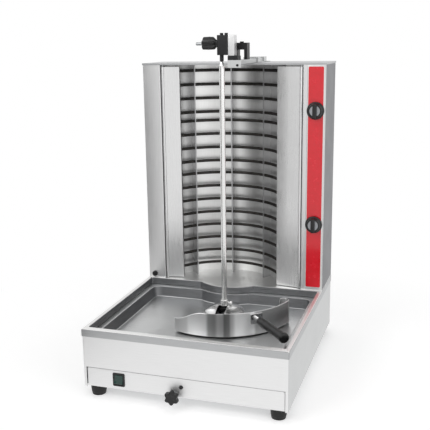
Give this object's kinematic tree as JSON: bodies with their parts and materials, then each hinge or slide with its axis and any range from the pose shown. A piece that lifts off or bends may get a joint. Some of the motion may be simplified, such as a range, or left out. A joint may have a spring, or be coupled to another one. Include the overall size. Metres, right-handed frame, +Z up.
{
  "type": "vertical rotisserie oven",
  "caption": "Countertop vertical rotisserie oven: steel base with recessed pan, rear heater housing with side wings, upright driven spit, sliding top bearing and loose scoop.",
  "frame": {"origin": "on the floor under the middle of the base", "axes": "+X to the right seen from the front, +Y to the back, +Z up"},
  "size_m": [0.5, 0.621, 0.8453],
  "materials": {
    "stainless": "brushed",
    "polished": "polished",
    "dark_steel": "satin black",
    "element": "oxidised sheath",
    "black_plastic": "moulded",
    "red": "gloss enamel",
    "green_lens": "clear tinted",
    "rubber": "moulded",
    "ceramic": "unglazed",
    "aluminium": "die cast",
    "wool": "mineral wool",
    "galvanised": "zinc plated"
  },
  "bodies": {
    "stand": {"arm_guides": "stainless", "base_bottom": "galvanised", "base_rear": "stainless", "base_shell": "stainless", "body_screws": "dark_steel", "cable_gland": "black_plastic", "carriage_rails": "galvanised", "catch_pan": "polished", "control_column": "stainless", "control_panel": "stainless", "deck_frame": "stainless", "feet": "rubber", "heater_bank_1": "element", "heater_bank_2": "element", "heater_bank_3": "element", "heater_bank_4": "element", "housing_back": "stainless", "housing_lid": "stainless", "housing_side_left": "stainless", "housing_side_right": "stainless", "insulation_blanket": "wool", "pan_rails": "galvanised", "pull_rod_bush": "galvanised", "red_facia": "red", "reflector": "polished", "regulators": "black_plastic", "rod_combs": "dark_steel", "switch_bezel": "black_plastic", "terminals": "ceramic", "wing_pins": "galvanised"},
    "carriage": {"drive_carriage": "galvanised", "gearbox": "aluminium", "drive_motor": "dark_steel", "pull_rod": "galvanised"},
    "spit": {"drive_shaft": "galvanised", "drive_socket": "dark_steel", "hub_dome": "polished", "spit_rod": "polished", "spit_collar": "polished", "collar_screw": "polished"},
    "lock_knob": {"lock_knob": "black_plastic"},
    "rocker": {"switch_rocker": "green_lens"},
    "knob_upper": {"control_knob_upper": "black_plastic"},
    "knob_lower": {"control_knob_lower": "black_plastic"},
    "wing_left": {"wing_left": "polished"},
    "wing_right": {"wing_right": "polished"},
    "top_arm": {"top_arm": "stainless", "head_bridge": "dark_steel", "head_foot": "dark_steel", "head_plate": "stainless", "arm_screws": "dark_steel"},
    "bearing_head": {"bearing_block": "dark_steel", "bearing_tip": "dark_steel", "block_bolts": "dark_steel"},
    "clamp_knob": {"clamp_knob": "black_plastic", "clamp_spindle": "galvanised"},
    "scoop": {"scoop_pan": "polished", "scoop_bracket": "polished", "scoop_grip": "black_plastic", "scoop_cap": "black_plastic"}
  },
  "joints": [
    {"name": "carriage_slide", "type": "slide", "parent": "stand", "child": "carriage", "axis": [0, -1, 0], "range_m": [0, 0.025]},
    {"name": "spit_spin", "type": "hinge", "parent": "carriage", "child": "spit", "pos_m": [0.006, 0.0345, 0.124], "axis": [0, 0, 1], "continuous": true},
    {"name": "lock_knob_turn", "type": "hinge", "parent": "carriage", "child": "lock_knob", "pos_m": [-0.02, -0.2875, 0.032], "axis": [0, 1, 0], "range_deg": [-270, 0]},
    {"name": "rocker_tip", "type": "hinge", "parent": "stand", "child": "rocker", "pos_m": [-0.159, -0.279, 0.0505], "axis": [1, 0, 0], "range_deg": [0, 16]},
    {"name": "knob_upper_turn", "type": "hinge", "parent": "stand", "child": "knob_upper", "pos_m": [0.224, 0.13, 0.65], "axis": [0, 1, 0], "range_deg": [0, 270]},
    {"name": "knob_lower_turn", "type": "hinge", "parent": "stand", "child": "knob_lower", "pos_m": [0.224, 0.13, 0.352], "axis": [0, 1, 0], "range_deg": [0, 270]},
    {"name": "wing_left_swing", "type": "hinge", "parent": "stand", "child": "wing_left", "pos_m": [-0.1935, 0.1407, 0.4], "axis": [0, 0, 1], "range_deg": [-75, 0]},
    {"name": "wing_right_swing", "type": "hinge", "parent": "stand", "child": "wing_right", "pos_m": [0.1845, 0.1407, 0.4], "axis": [0, 0, 1], "range_deg": [0, 75]},
    {"name": "arm_slide", "type": "slide", "parent": "stand", "child": "top_arm", "axis": [0, -1, 0], "range_m": [0, 0.025]},
    {"name": "bearing_lift", "type": "slide", "parent": "top_arm", "child": "bearing_head", "axis": [0, 0, 1], "range_m": [0, 0.025]},
    {"name": "clamp_turn", "type": "hinge", "parent": "bearing_head", "child": "clamp_knob", "pos_m": [-0.02, 0.0345, 0.8198], "axis": [1, 0, 0], "range_deg": [-270, 0]},
    {"name": "scoop_lift", "type": "slide", "parent": "stand", "child": "scoop", "axis": [0, 0, 1], "range_m": [0, 0.15]}
  ],
  "couplings": [
    {"joint": "arm_slide", "follows": "carriage_slide", "ratio": 1}
  ]
}
